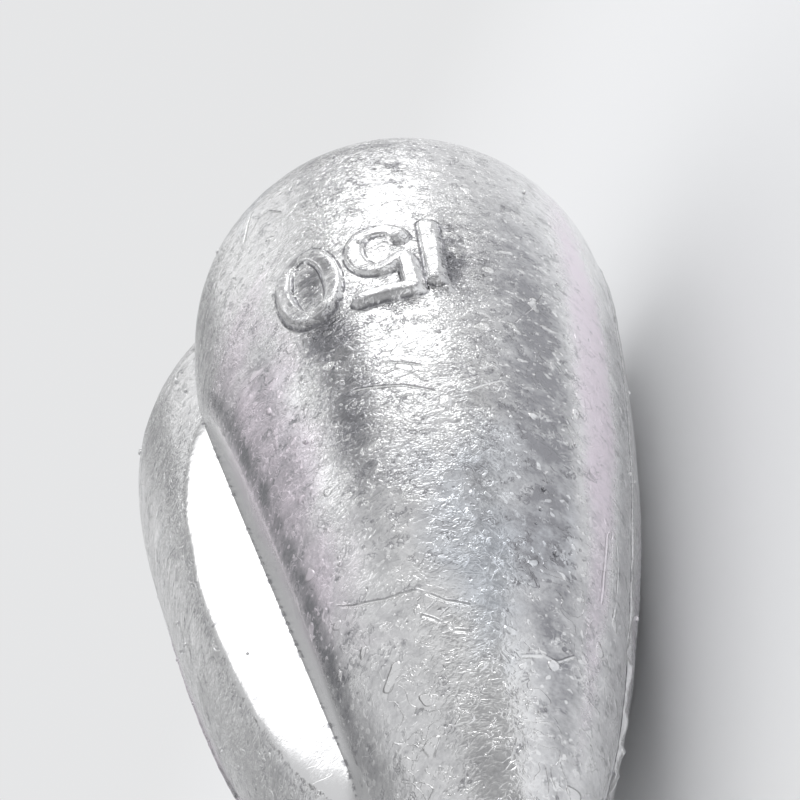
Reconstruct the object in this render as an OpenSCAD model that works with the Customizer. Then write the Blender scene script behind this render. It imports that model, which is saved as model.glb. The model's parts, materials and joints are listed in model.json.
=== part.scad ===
// Cast lead fishing sinker with a brass barrel swivel set in its narrow end.
//
// The lead body is two pear-shaped lobes cast side by side. A straight V-groove
// runs along each face between them, and the weight in grams stands up from one
// lobe. The sinker lies as it comes to rest on a table: on both lobes, with one
// groove up. +X is across the lobes, +Y points to the fat end and +Z is up.
//
// Each piece is drawn upright about the sinker's own axis and laid down at the
// end. Upright, z runs from the widest section (z = 0) to the line eye, x points
// to the numbered lobe and y to the groove that faces up when it lies.

/* [Lobes] */
// Radius of each lobe at its widest section
lobe_r = 9.8; // [9:0.1:10.6]
// Distance from the sinker's axis to the middle of a lobe at its widest section
lobe_offset = 3.8; // [3.2:0.1:4.4]
// Angle by which each lobe leans in towards the narrow end
lobe_lean = 2.7; // [2:0.1:3.4]
// Radius of the long arc that narrows a lobe towards the eye
taper_arc_r = 94; // [88:1:104]
// Distance from the widest section to the centre of gravity, which sets how it lies
balance_z = 10; // [9:0.1:11]

/* [Grooves] */
// Distance from the axis to the bottom of a groove at the widest section
groove_r = 10.1; // [9.7:0.1:10.5]
// Angle at which the bottom of a groove nears the axis
groove_slope = 11.3; // [10:0.1:12]
// Angle between the two flanks of a groove
groove_angle = 123; // [110:1:135]

/* [Neck] */
// Radius of the round neck at the narrow end
neck_r = 3.9; // [3.7:0.1:4.4]
// Distance from the widest section to the end of the neck
neck_z = 40.3; // [39:0.1:42]
// Radius of the rounded edge at the end of the neck
neck_edge_r = 1.4; // [0.8:0.1:2]

/* [Raised number] */
// Height of the digits
digit_h = 5.6; // [5.2:0.1:6]
// Width of a stroke
stroke_w = 0.8; // [0.6:0.05:0.95]
// Height of the digits above the lead around them
relief = 0.4; // [0.3:0.05:0.6]
// Width of the nought
nought_w = 3; // [2.7:0.1:3.2]
// Width of the five
five_w = 2.8; // [2.5:0.1:3]
// Height of the five's bowl
bowl_h = 3.7; // [3.3:0.1:3.9]
// Gap between the one and the five
one_gap = 0.25; // [0.2:0.05:0.5]
// Gap between the five and the nought
nought_gap = 0.3; // [0.25:0.05:0.5]
// Angle by which the digits lean to the right
digit_lean = 3; // [1:0.5:6]
// Distance from the widest section to the middle of the digits
number_z = 9.8; // [8.5:0.1:11]
// Distance from the middle of the mould half to the right-hand end of the number
number_end = 0.7; // [0.2:0.1:1.2]
// Angle from the lobes' own line to the direction in which the mould opens
mould_angle = 45; // [40:1:50]

/* [Swivel] */
// Radius of the wire of both eyes
wire_r = 0.7; // [0.6:0.05:0.8]
// Radius of an eye, measured to the middle of its wire
eye_r = 2.2; // [2:0.05:2.3]
// Thickness of the lead over the eye that is cast in
eye_cover = 2; // [1.6:0.1:2.6]
// Length of shank that shows between an eye or the neck and the barrel
shank_gap = 0.7; // [0.5:0.1:0.9]
// Greatest radius of the barrel
barrel_r = 2.6; // [2.4:0.1:2.9]
// Radius of the barrel where it meets its collars
barrel_end_r = 2; // [1.9:0.05:2.2]
// Length of the barrel over both collars
barrel_len = 8; // [7:0.1:9]
// Radius of the collar that is rolled in round each shank
collar_r = 1.5; // [1.3:0.05:1.7]
// Length of each collar
collar_len = 0.7; // [0.5:0.05:0.9]
// Thickness of the barrel's end walls, measured over the collar
end_wall = 1.3; // [1.1:0.1:1.5]
// Thickness of the barrel's side wall at its ends
side_wall = 0.6; // [0.5:0.05:0.7]
// Thickness of the head at the inner end of each shank
head_t = 1; // [0.8:0.1:1.3]
// Running clearance on every side of a shank and under its head
run_gap = 0.05; // [0.03:0.01:0.08]

/* [Hidden] */
$fn = 120;

// The long arc is drawn from this far beyond the lobe's middle line
arc_centre = taper_arc_r - lobe_r;

// The lobes end inside the neck, just under its rounded edge
lobe_end = neck_z - neck_edge_r;

// The body rocks on its long arcs until its centre of gravity is over the contact
rest_tilt = atan(balance_z / arc_centre);
rest_pitch = asin(sin(rest_tilt) / cos(lobe_lean));
rest_z = taper_arc_r - arc_centre * cos(rest_tilt);

// Places along the axis. The neck goes down past the cast-in eye, inside the lobes
cast_eye_z = neck_z - eye_cover - eye_r - wire_r;
neck_len = 2 * (eye_r + wire_r) + 3 * eye_cover;
barrel_z = neck_z + shank_gap;
line_eye_z = barrel_z + barrel_len + shank_gap + eye_r;

// The middle of the resting sinker, from the fat end to the tip of the line eye
reach_y = (line_eye_z + eye_r) * cos(rest_pitch) + wire_r;
middle_y = (reach_y - lobe_r) / 2;

// The barrel is a bulging arc between two collars, hollow inside
bulge = barrel_r - barrel_end_r;
bulge_len = barrel_len - 2 * collar_len;
bulge_arc_r = (pow(bulge_len / 2, 2) + pow(bulge, 2)) / (2 * bulge);
cavity_r = barrel_end_r - side_wall;
head_r = cavity_r - run_gap;
bore_r = wire_r + run_gap;
head_seat = end_wall + run_gap;

// The number is set out from its right-hand end
one_w = stroke_w;
nought_u = number_end - nought_w / 2;
five_u = number_end - nought_w - nought_gap - five_w / 2;
one_u = number_end - nought_w - nought_gap - five_w - one_gap - one_w / 2;

// Every cut runs on past what it cuts by this much
overrun = lobe_r;

// Lays an upright piece down on both lobes, with the bottom centre at the origin
module lay_down() {
    translate([0, middle_y, rest_z]) rotate([90 + rest_pitch, 0, 0]) children();
}

// Half section of one lobe, grown outwards by a skin: a round end and a long arc
module lobe_section(skin) {
    intersection() {
        circle(r = lobe_r + skin);
        translate([0, -lobe_r - skin]) square([lobe_r + skin, lobe_r + skin]);
    }
    intersection() {
        translate([-arc_centre, 0]) circle(r = taper_arc_r + skin, $fn = 4 * $fn);
        square([lobe_r + skin, lobe_end]);
    }
}

// One lobe in its place; side is 1 for the numbered lobe and -1 for the other
module lobe(side, skin = 0) {
    translate([side * lobe_offset, 0, 0])
        rotate([0, -side * lobe_lean, 0])
            rotate_extrude() lobe_section(skin);
}

// The V-shaped cut that leaves a groove's two flat flanks
module groove_cut() {
    half_w = overrun * tan(groove_angle / 2);
    translate([0, groove_r, 0])
        rotate([groove_slope, 0, 0])
            translate([0, 0, -overrun])
                linear_extrude(height = neck_z + 2 * overrun)
                    polygon([[0, 0], [half_w, overrun], [-half_w, overrun]]);
}

// Round neck with a rolled edge, standing on the axis
module neck() {
    inner_r = neck_r - neck_edge_r;
    translate([0, 0, neck_z - neck_len]) rotate_extrude() {
        square([neck_r, neck_len - neck_edge_r]);
        square([inner_r, neck_len]);
        translate([inner_r, neck_len - neck_edge_r]) intersection() {
            circle(r = neck_edge_r);
            square([neck_edge_r, neck_edge_r]);
        }
    }
}

// A bar or oval with round ends, the shape that all the strokes come from
module oval(w, h) {
    straight = (h - w) / 2;
    for (end = [-1, 1]) translate([0, end * straight]) circle(r = w / 2);
    translate([-w / 2, -straight]) square([w, 2 * straight]);
}

module oval_ring(w, h) {
    difference() {
        oval(w, h);
        oval(w - 2 * stroke_w, h - 2 * stroke_w);
    }
}

module one() {
    oval(one_w, digit_h);
}

// A bar on top, a stem on the left and a bowl that is open on the left
module five() {
    bowl_v = (bowl_h - digit_h) / 2;
    stem_v = bowl_v + stroke_w;
    translate([-five_w / 2, digit_h / 2 - stroke_w]) square([five_w, stroke_w]);
    translate([-five_w / 2, stem_v]) square([stroke_w, digit_h / 2 - stem_v]);
    translate([0, bowl_v]) difference() {
        oval_ring(five_w, bowl_h);
        translate([-five_w, -stroke_w]) square([five_w, 2 * stroke_w]);
    }
}

module nought() {
    oval_ring(nought_w, digit_h);
}

// The three digits, raised from the skin of their lobe along the mould's opening
module number() {
    intersection() {
        lobe(1, relief);
        rotate([0, 0, mould_angle]) rotate([90, 0, 90])
            linear_extrude(height = lobe_r + lobe_offset + overrun)
                translate([0, number_z]) {
                    translate([one_u, 0]) rotate(-digit_lean) one();
                    translate([five_u, 0]) rotate(-digit_lean) five();
                    translate([nought_u, 0]) rotate(-digit_lean) nought();
                }
    }
}

// A wire eye with a headed shank. The eye is centred at z = 0; the shank goes up,
// and its head ends at the given height
module wire_eye(head_end) {
    rotate([90, 0, 0]) rotate_extrude() translate([eye_r, 0]) circle(r = wire_r, $fn = 48);
    translate([0, 0, eye_r]) cylinder(r = wire_r, h = head_end - eye_r);
    translate([0, 0, head_end - head_t]) cylinder(r = head_r, h = head_t);
}

// The eye that the lead is cast round, with its head inside the barrel
module lower_eye() {
    translate([0, 0, cast_eye_z]) wire_eye(barrel_z + head_seat + head_t - cast_eye_z);
}

module lead_casting() {
    color([0.66, 0.66, 0.69]) lay_down() difference() {
        union() {
            difference() {
                union() {
                    lobe(1);
                    lobe(-1);
                }
                groove_cut();
                mirror([0, 1, 0]) groove_cut();
            }
            neck();
            number();
        }
        lower_eye();
    }
}

module cast_in_eye() {
    color([0.80, 0.64, 0.32]) lay_down() lower_eye();
}

// Half section of the barrel: a bulging shell with a collar and a bore at each end
module barrel_section() {
    difference() {
        union() {
            intersection() {
                translate([barrel_r - bulge_arc_r, barrel_len / 2]) circle(r = bulge_arc_r);
                translate([0, collar_len]) square([barrel_r, bulge_len]);
            }
            square([collar_r, barrel_len]);
        }
        translate([0, end_wall]) square([cavity_r, barrel_len - 2 * end_wall]);
        translate([0, -overrun]) square([bore_r, barrel_len + 2 * overrun]);
    }
}

module swivel_barrel() {
    color([0.85, 0.70, 0.38]) lay_down()
        translate([0, 0, barrel_z]) rotate_extrude() barrel_section();
}

module line_eye() {
    shank_end = line_eye_z - (barrel_z + barrel_len - head_seat - head_t);
    color([0.80, 0.64, 0.32]) lay_down()
        translate([0, 0, line_eye_z]) mirror([0, 0, 1]) wire_eye(shank_end);
}

lead_casting();
cast_in_eye();
swivel_barrel();
line_eye();
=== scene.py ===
# %% [markdown]
# # A cast lead sinker
#
# The object is a 150 gram fishing sinker: two pear-shaped lobes of lead cast side by side, with a
# brass barrel swivel in the narrow end. The frame that is loaded first holds every piece at its real
# size and place. This script gives the pieces the look of the real thing. Lead is cast quickly and
# cheaply, so its skin is full of ripples, folds, pits and beads, and those are what the eye sees.
# Sizes below are in millimetres, and turn into Blender's metres once, when a mesh is made.

# %% Load the frame
import json

import bpy
import numpy as np
from mathutils import Matrix, Vector


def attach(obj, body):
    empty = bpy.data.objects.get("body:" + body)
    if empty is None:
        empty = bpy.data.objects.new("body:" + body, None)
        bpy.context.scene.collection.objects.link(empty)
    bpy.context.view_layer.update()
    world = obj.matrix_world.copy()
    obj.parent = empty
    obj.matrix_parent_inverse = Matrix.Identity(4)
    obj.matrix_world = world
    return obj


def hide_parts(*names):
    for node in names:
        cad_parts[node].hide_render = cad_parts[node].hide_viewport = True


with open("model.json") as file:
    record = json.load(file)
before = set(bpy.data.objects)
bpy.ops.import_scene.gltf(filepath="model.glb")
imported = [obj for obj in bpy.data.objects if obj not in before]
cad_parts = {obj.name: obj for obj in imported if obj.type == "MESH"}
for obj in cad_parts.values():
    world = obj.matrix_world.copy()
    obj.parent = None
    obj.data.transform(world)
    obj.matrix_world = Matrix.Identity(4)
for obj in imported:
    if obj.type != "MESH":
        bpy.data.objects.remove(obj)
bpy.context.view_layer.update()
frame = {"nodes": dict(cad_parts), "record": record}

# %% [markdown]
# The sinker lies down, but its shape is simplest when it stands upright: round sections stacked along
# one axis. The swivel's hinge lies on that axis, so the hinge says where the axis is and how it tilts.
# In the upright frame z runs from the widest section to the line eye, x points to the lobe with the
# number and y to the groove that faces up.

# %% The upright frame
MM = 0.001
NECK_Z = 40.3
SHANK_GAP = 0.7

hinge = next(joint for joint in frame["record"]["behaviour"]["joints"] if joint["name"] == "barrel_spin")
axis_z = Vector(hinge["axis"]).normalized()
axis_x = Vector((1, 0, 0))
axis_y = axis_z.cross(axis_x)
widest = Vector(hinge["pos_m"]) - axis_z * (NECK_Z + SHANK_GAP) * MM

upright = Matrix((axis_x, axis_y, axis_z)).transposed().to_4x4()
upright.translation = widest


def placed(points):
    """Upright points in millimetres as places in the scene."""
    turn = np.array([axis_x, axis_y, axis_z]) * MM
    return np.asarray(points) @ turn + np.array(widest)


print("widest section at", tuple(round(value, 5) for value in widest))

# %% [markdown]
# ## The shape of the casting
#
# Each lobe has a round fat end and a long arc that narrows towards the neck, and leans in a little.
# Between the lobes a straight V-shaped groove runs down each face. Seen along the axis, the skin is
# one distance for each direction, so a function of direction and height can hold the whole body. A
# boolean of solids would give the same form, but its triangles would follow nothing. A grid that is
# laid along the edges keeps them crisp and can be displaced.

# %% Sizes of the lead body
LOBE_R = 9.8
LOBE_OFFSET = 3.8
LOBE_LEAN = np.radians(2.7)
TAPER_ARC_R = 94
GROOVE_R = 10.1
GROOVE_SLOPE = np.radians(11.3)
GROOVE_HALF = np.radians(61.5)
NECK_R = 3.9
NECK_EDGE_R = 1.4
NECK_SHOULDER = NECK_Z - NECK_EDGE_R
WIRE_R = 0.7
EDGE_ROUND = 0.22
NECK_FILLET = 0.5
TAN_HALF = np.tan(GROOVE_HALF) * np.cos(GROOVE_SLOPE)
print("lobes", 2 * LOBE_R, "mm thick, groove", round(2 * float(np.degrees(GROOVE_HALF))), "degrees wide")

# %% [markdown]
# A lobe is round about a middle line of its own that leans, so the distance from the sinker's axis to
# its skin comes from a sum that is repeated until it settles. A groove's flank is a flat plane. The
# nearer of the two is the skin, and a soft minimum in place of a sharp one gives the shoulder between
# them the small round edge that every casting has. A bevel would need the edge to exist first.

# %% One section of the body
SETTLING_ROUNDS = 4
LEAST_OPENING = 0.02


def lobe_radius(height):
    """Radius of a lobe at a height along its own middle line."""
    fat_end = np.sqrt(np.maximum(LOBE_R**2 - height**2, 0))
    taper = LOBE_R - TAPER_ARC_R + np.sqrt(TAPER_ARC_R**2 - height**2)
    return np.where(height < 0, fat_end, taper)


def lobe_middle(z):
    return LOBE_OFFSET - z * np.tan(LOBE_LEAN)


def crease_height(z):
    return GROOVE_R - z * np.tan(GROOVE_SLOPE)


def neck_radius(z):
    rise = np.clip(z - NECK_SHOULDER, 0, NECK_EDGE_R)
    return NECK_R - NECK_EDGE_R + np.sqrt(NECK_EDGE_R**2 - rise**2)


def soft_min(a, b, blend):
    """The lesser of two values, with a round step where they are nearly alike."""
    near = np.maximum(blend - np.abs(a - b), 0) / blend
    return np.minimum(a, b) - near * near * blend / 4


def soft_max(a, b, blend):
    return -soft_min(-a, -b, blend)


def skin_radius(azimuth, z):
    """Distance from the axis to the skin, for an azimuth of 0 to 90 degrees and z of 0 or more."""
    cos, sin = np.cos(azimuth), np.sin(azimuth)
    middle = lobe_middle(z)
    lobe = LOBE_R + middle
    for _ in range(SETTLING_ROUNDS):
        radius = lobe_radius(z - (lobe * cos - middle) * np.sin(LOBE_LEAN))
        lobe = middle * cos + np.sqrt(np.maximum(radius**2 - (middle * sin) ** 2, 0))
    opening = sin - cos / TAN_HALF
    flank = crease_height(z) / np.maximum(opening, LEAST_OPENING)
    flank = np.where(opening > LEAST_OPENING, flank, 4 * LOBE_R)
    return soft_max(soft_min(lobe, flank, EDGE_ROUND), neck_radius(z), NECK_FILLET)


def shoulder_angle(z):
    """Angle about a lobe's own middle at which the lobe ends and the groove's flank begins."""
    crease, middle, radius = crease_height(z), lobe_middle(z), lobe_radius(z)
    along_x, along_y = np.sin(np.arctan(TAN_HALF)), np.cos(np.arctan(TAN_HALF))
    half_b = crease * along_y - middle * along_x
    square = half_b**2 - (middle**2 + crease**2 - radius**2)
    flank_width = np.sqrt(np.maximum(square, 0)) - half_b
    cut = np.arctan2(crease + flank_width * along_y, flank_width * along_x - middle)
    valley = np.arccos(np.clip(-middle / radius, -1, 1)) - EDGE_ROUND / NECK_R
    return np.where((square > 0) & (flank_width > 0), np.minimum(cut, valley), valley)


print("half width at the widest section", round(float(skin_radius(0.0, 0.0)), 2), "mm")

# %% [markdown]
# The grid's columns run from the fat end to the neck. In each quarter of the body they are laid out by
# the angle about the lobe's own middle, up to the shoulder, and then across the flank to the crease.
# They stand close together under the number and along the parting line, where the detail is fine.

# %% Columns of the grid
FROZEN_Z = 30
DIGIT_SIDES = np.radians((16, 66))
SEAM_BAND = np.radians(3)
SEAM_HEIGHTS = (0, 10, 15, 21, 24, 27, 31, 37)
SEAM_DEGREES = (46.5, 45, 43.5, 45.5, 49, 53, 58, 60)
FLANK_SHARES = (0.03, 0.08, 0.16, 0.27, 0.39, 0.51, 0.63, 0.75, 0.85, 0.92, 0.97, 1)
COLUMNS = {"number": (12, 124, 22), "far_up": (20, 18, 30), "far_down": (44,), "near_down": (24, 24, 30)}


def seam_angle(z):
    """Angle of the parting line about a lobe's own middle: it wanders off towards the neck."""
    return np.radians(np.interp(z, SEAM_HEIGHTS, SEAM_DEGREES))


def quarter_stops(name, z):
    """Angles about the lobe's own middle at which the spacing of one quarter's columns changes."""
    edge, seam = float(shoulder_angle(np.float64(z))), float(seam_angle(z))
    stops = {"number": (*DIGIT_SIDES, edge), "far_down": (edge,)}
    return stops.get(name, (seam - SEAM_BAND, seam + SEAM_BAND, edge))


def quarter_azimuths(name, z):
    """Azimuths of one quarter's columns at height z, from the lobe's side to the crease."""
    angles = [0.0]
    for stop, count in zip(quarter_stops(name, z), COLUMNS[name]):
        angles.extend(np.linspace(angles[-1], stop, count + 1)[1:])
    angles = np.array(angles)
    radius, middle = lobe_radius(np.float64(z)), lobe_middle(z)
    azimuths = np.arctan2(radius * np.sin(angles), middle + radius * np.cos(angles))
    flank = azimuths[-1] + (np.pi / 2 - azimuths[-1]) * np.array(FLANK_SHARES)
    return np.concatenate([azimuths, flank])


def ring_azimuths(z):
    """Azimuths all the way round at height z, from the numbered lobe's side over the upper groove."""
    z = min(max(z, 0.0), FROZEN_Z)
    number = quarter_azimuths("number", z)
    far_up = np.pi - quarter_azimuths("far_up", z)[::-1]
    far_down = np.pi + quarter_azimuths("far_down", z)
    near_down = 2 * np.pi - quarter_azimuths("near_down", z)[::-1]
    return np.concatenate([number, far_up[1:], far_down[1:], near_down[1:-1]])


print("columns", len(ring_azimuths(0.0)))

# %% [markdown]
# The rows go from the tip of the fat end, over its round cap, along the body and over the rolled edge
# of the neck, to the hole where the wire comes out. Over the cap a row is an angle from the axis, and
# from the widest section on it is a height.

# %% Rows of the grid
CAP_ROWS = 36
ROWS_UNDER, ROWS_NUMBER, ROWS_OVER = 18, 84, 66
NUMBER_FROM, NUMBER_TO = 6.8, 13.1
HOLE_DEPTH = 2
HOLE_PLAY = 0.04
HOLE_R = WIRE_R + HOLE_PLAY
NECK_TURNS = np.radians((0, 18, 36, 54, 72, 90))
NECK_RINGS = (1.9, 1.3, 0.9, HOLE_R)


def flat_ring(z, radius, azimuths):
    return np.stack([radius * np.cos(azimuths), radius * np.sin(azimuths), np.full_like(azimuths, z)], -1)


def cap_ring(tilt, azimuths):
    """Points where rays at one angle from the axis leave the two round ends."""
    cos, sin = np.abs(np.cos(azimuths)), np.sin(tilt)
    along = LOBE_OFFSET * sin * cos
    reach = along + np.sqrt(along**2 - LOBE_OFFSET**2 + LOBE_R**2)
    return flat_ring(-reach * np.cos(tilt), reach * sin, azimuths)


def body_ring(z, azimuths):
    folded = np.arctan2(np.abs(np.sin(azimuths)), np.abs(np.cos(azimuths)))
    return flat_ring(z, skin_radius(folded, z), azimuths)


heights = np.concatenate([
    np.linspace(0, NUMBER_FROM, ROWS_UNDER, endpoint=False),
    np.linspace(NUMBER_FROM, NUMBER_TO, ROWS_NUMBER, endpoint=False),
    np.linspace(NUMBER_TO, NECK_SHOULDER, ROWS_OVER, endpoint=False),
])
cap_tilts = np.linspace(0, np.pi / 2, CAP_ROWS, endpoint=False)[1:]
rings = [cap_ring(tilt, ring_azimuths(0.0)) for tilt in cap_tilts]
rings += [body_ring(z, ring_azimuths(z)) for z in heights]
neck_azimuths = ring_azimuths(FROZEN_Z)
for turn in NECK_TURNS:
    radius = NECK_R - NECK_EDGE_R * (1 - np.cos(turn))
    rings.append(flat_ring(NECK_SHOULDER + NECK_EDGE_R * np.sin(turn), radius, neck_azimuths))
for radius in NECK_RINGS:
    rings.append(flat_ring(NECK_Z, radius, neck_azimuths))
rings.append(flat_ring(NECK_Z - HOLE_DEPTH, HOLE_R, neck_azimuths))
grid = np.array(rings)
print("rows", len(grid), "quads", grid.shape[0] * grid.shape[1])

# %% [markdown]
# ## What casting leaves behind
#
# The marks below are placed on a lobe as a caster would point at them: by the angle about the lobe's
# own middle line and by the height along it. Angles are counted from the lobe's outer side, towards the
# upper groove on the numbered lobe. The far lobe is the same shape turned half a turn about the axis.

# %% Angle and height on each lobe
side = np.where(grid[..., 0] >= 0, 1, -1)
x, y, z = side * grid[..., 0], side * grid[..., 1], grid[..., 2]
own_angle = np.arctan2(y, x - lobe_middle(np.clip(z, 0, FROZEN_Z)))
own_degrees = np.degrees(own_angle)
outward = np.stack([side * np.cos(own_angle), side * np.sin(own_angle), np.zeros_like(z)], -1)
lobe_r_here = lobe_radius(np.clip(z, -LOBE_R, FROZEN_Z))
print("own angles from", round(float(own_degrees.min())), "to", round(float(own_degrees.max())), "degrees")

# %% [markdown]
# The two halves of the mould never close quite tight, so a thin fin of lead marks the line where they
# meet. It runs down one side of each lobe, fine and crisp near the fat end and ragged near the neck,
# and one bite is missing from it. The sides next to it are a little flat. These are shapes, so they
# are moved into the mesh and not only painted on.

# %% Flat sides and parting fin
FADE = (0, 1, 1, 0)
FLAT_DEPTH = 0.35
FLAT_ANGLE = np.radians(58)
FLAT_SPREAD = np.radians(24)
FLAT_HEIGHTS = (2, 11, 24, 33)
FIN_HEIGHTS = (-12, -4, 4, 20, 23, 25, 29, 33, 37, 39)
FIN_RISE = (0.04, 0.08, 0.1, 0.1, 0.12, 0.14, 0.16, 0.16, 0.1, 0)
FIN_HALF = 0.08
RAGGED_SEED, RAGGEDNESS = 150, 0.9
RAGGED_PLACES = np.linspace(-12, 41, 240)
RAGGED_FROM, RAGGED_AMOUNT = (18, 26), (0.08, 0.5)
LEAST_RAGGED = 0.1

fade = np.interp(z, FLAT_HEIGHTS, FADE)
flatten = FLAT_DEPTH * fade * np.exp(-(((own_angle + FLAT_ANGLE) / FLAT_SPREAD) ** 2))
seam_x = LOBE_OFFSET + np.cos(seam_angle(0)) * LOBE_R
seam_azimuth = np.arctan2(-np.sin(seam_angle(0)) * LOBE_R, seam_x)
cap_offset = (np.arctan2(y, x) - seam_azimuth) * np.hypot(x, y)
seam_offset = np.where(z < 0, cap_offset, (own_angle + seam_angle(z)) * lobe_r_here)
rng = np.random.default_rng(RAGGED_SEED)
amount = RAGGEDNESS * np.interp(RAGGED_PLACES, RAGGED_FROM, RAGGED_AMOUNT)
ragged = np.maximum(1 + amount * rng.standard_normal(len(RAGGED_PLACES)), LEAST_RAGGED)
rise = np.interp(z, FIN_HEIGHTS, FIN_RISE) * np.interp(z, RAGGED_PLACES, ragged)
fin = rise * np.exp(-((seam_offset / FIN_HALF) ** 2))
print("fin rises", round(float(fin.max()), 2), "mm at most")

# %% [markdown]
# The bite in the fin is where a piece of flash broke off. It is a soft dent: the farther a vertex is
# from its middle, along the parting line or across it, the less it moves. Fin, flat and bite are added
# up first and move the grid once.

# %% The bite in the fin
BITE_Z, BITE_HALF, BITE_DEPTH = 26.4, 0.7, 0.3
BITE_OFFSET, BITE_WIDTH = 0.2, 0.3

bite_along, bite_across = (z - BITE_Z) / BITE_HALF, (seam_offset + BITE_OFFSET) / BITE_WIDTH
bite = BITE_DEPTH * np.exp(-(bite_along**2) - (bite_across**2)) * (side > 0)
grid = grid + (fin - flatten - bite)[..., None] * outward
print("bite", round(float(bite.max()), 2), "mm deep")

# %% [markdown]
# ## The raised number
#
# The figure 150 is the weight in grams. It is cut into one half of the mould, so its walls run in the
# direction in which that half is pulled away, 45 degrees from the line through both lobes. The
# strokes are drawn as middle lines on a flat sheet held across that direction, with u to the right and
# v towards the neck. A point of the skin is lifted by how near it is to a stroke. A text object could
# give digits too, but these were cut by hand, with round strokes that no font has.

# %% Strokes of the digits
MOULD_TURN = np.radians(45)
RELIEF = 0.22
LEAST_RELIEF, MOST_RELIEF = 0.13, 0.36
STROKE_HALF = 0.41
TOP_SHARE = 0.4
DOME_EDGE = 4
ONE = [(-6.22, 7.45), (-5.92, 11.85)]
FIVE_BAR = [(-2.8, 12.4), (-4.97, 12.4)]
FIVE_STEM = [(-4.97, 12.4), (-5.03, 10.5)]
FIVE_BOWL = [(-5.03, 10.5), (-4.92, 10.06), (-4.62, 10.1), (-4.2, 10.42), (-3.8, 10.5), (-3.4, 10.28),
             (-3.08, 9.6), (-3.0, 8.85), (-3.18, 8.1), (-3.55, 7.6), (-4.02, 7.45), (-4.5, 7.55),
             (-4.88, 7.9), (-5.0, 8.3)]
ONE_MIDDLE = (-6.07, 9.65)
FIVE_MIDDLE = (-4, 9.9)
NOUGHT_MIDDLE = (-0.79, 9.61)
NOUGHT_RADII = (1.1, 2.46)
NOUGHT_LEAN = np.radians(3)
print("the number is", round(ONE[1][1] - ONE[0][1] + 2 * STROKE_HALF, 1), "mm high at the one")

# %% [markdown]
# How far a point of the skin is from the nearest stroke decides how high it is lifted. A run of straight
# pieces has an exact distance, and the five's bowl is made such a run by a smooth curve through a few
# points. An oval has no simple one, so the nought uses a near one: how far the point is past the oval,
# over how fast that changes there.

# %% Distance to each stroke
TINY = 1e-6


def curve_through(points, steps=6):
    """A smooth run of points through a few chosen ones."""
    chosen = np.array([points[0], *points, points[-1]])
    share = np.linspace(0, 1, steps, endpoint=False)[:, None]
    run = []
    for a, b, c, d in zip(chosen, chosen[1:], chosen[2:], chosen[3:]):
        run.append(b + share * ((c - a) / 2 + share * ((2 * a - 5 * b + 4 * c - d) / 2
                   + share * (3 * b - a - 3 * c + d) / 2)))
    return np.concatenate([*run, chosen[-1:]])


def distance_to_run(u, v, run):
    """Distance from points to a run of straight pieces."""
    least = np.full(np.shape(u), np.inf)
    for (u0, v0), (u1, v1) in zip(run, run[1:]):
        du, dv = u1 - u0, v1 - v0
        share = np.clip(((u - u0) * du + (v - v0) * dv) / (du * du + dv * dv), 0, 1)
        least = np.minimum(least, np.hypot(u - u0 - share * du, v - v0 - share * dv))
    return least


def distance_to_nought(u, v):
    """Distance, nearly, to the oval middle line of the nought."""
    across, along = u - NOUGHT_MIDDLE[0], v - NOUGHT_MIDDLE[1]
    cos, sin = np.cos(NOUGHT_LEAN), np.sin(NOUGHT_LEAN)
    x = (cos * across + sin * along) / NOUGHT_RADII[0]
    y = (cos * along - sin * across) / NOUGHT_RADII[1]
    share = np.maximum(np.hypot(x, y), TINY)
    slope = np.hypot(x / NOUGHT_RADII[0], y / NOUGHT_RADII[1]) / share
    return np.abs(share - 1) / np.maximum(slope, TINY)


pull = np.array([np.cos(MOULD_TURN), np.sin(MOULD_TURN), 0])
sheet_u = grid[..., 1] * pull[0] - grid[..., 0] * pull[1]
sheet_v = grid[..., 2]
five_runs = [FIVE_BAR, FIVE_STEM, curve_through(FIVE_BOWL)]
to_five = np.minimum.reduce([distance_to_run(sheet_u, sheet_v, run) for run in five_runs])
digits = [
    (distance_to_run(sheet_u, sheet_v, ONE), ONE_MIDDLE),
    (to_five, FIVE_MIDDLE),
    (distance_to_nought(sheet_u, sheet_v), NOUGHT_MIDDLE),
]
print("strokes in the five", len(five_runs), "and", sum(map(len, five_runs)), "points")

# %% [markdown]
# The tops of the digits are flatter than the lobe under them: the cutter that made the mould moved
# nearly level, so each top leans only part of the way with the skin and mirrors another part of the
# room. The lift is the same in every direction from a stroke's middle line, which gives round strokes.

# %% Lift the digits out of the skin
FAR_OFF = 9.0

depth = grid @ pull
on_number = (grid[..., 0] > 0) & (grid[..., 1] > 0) & (sheet_v > NUMBER_FROM) & (sheet_v < NUMBER_TO)
lift = np.zeros_like(depth)
digit_depth = np.full_like(depth, -FAR_OFF)
for away, (middle_u, middle_v) in digits:
    middle, radius = lobe_middle(middle_v), lobe_radius(np.float64(middle_v))
    turn = np.arcsin((middle_u + middle * pull[1]) / radius)
    lean_u = -np.tan(turn) * TOP_SHARE
    lean_v = -(middle_v / TAPER_ARC_R + np.tan(LOBE_LEAN) * pull[0]) * TOP_SHARE
    top = middle * pull[0] + radius * np.cos(turn) + RELIEF
    top = top + lean_u * (sheet_u - middle_u) + lean_v * (sheet_v - middle_v)
    dome = np.maximum(1 - np.minimum(away / STROKE_HALF, 1) ** DOME_EDGE, 0) ** 0.5
    digit_depth = np.where(on_number, np.maximum(digit_depth, STROKE_HALF - away), digit_depth)
    lift = np.maximum(lift, np.clip(top - depth, LEAST_RELIEF, MOST_RELIEF) * dome * on_number)
grid = grid + lift[..., None] * pull
print("tallest digit point", round(float(lift.max()), 2), "mm over the skin")
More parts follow.
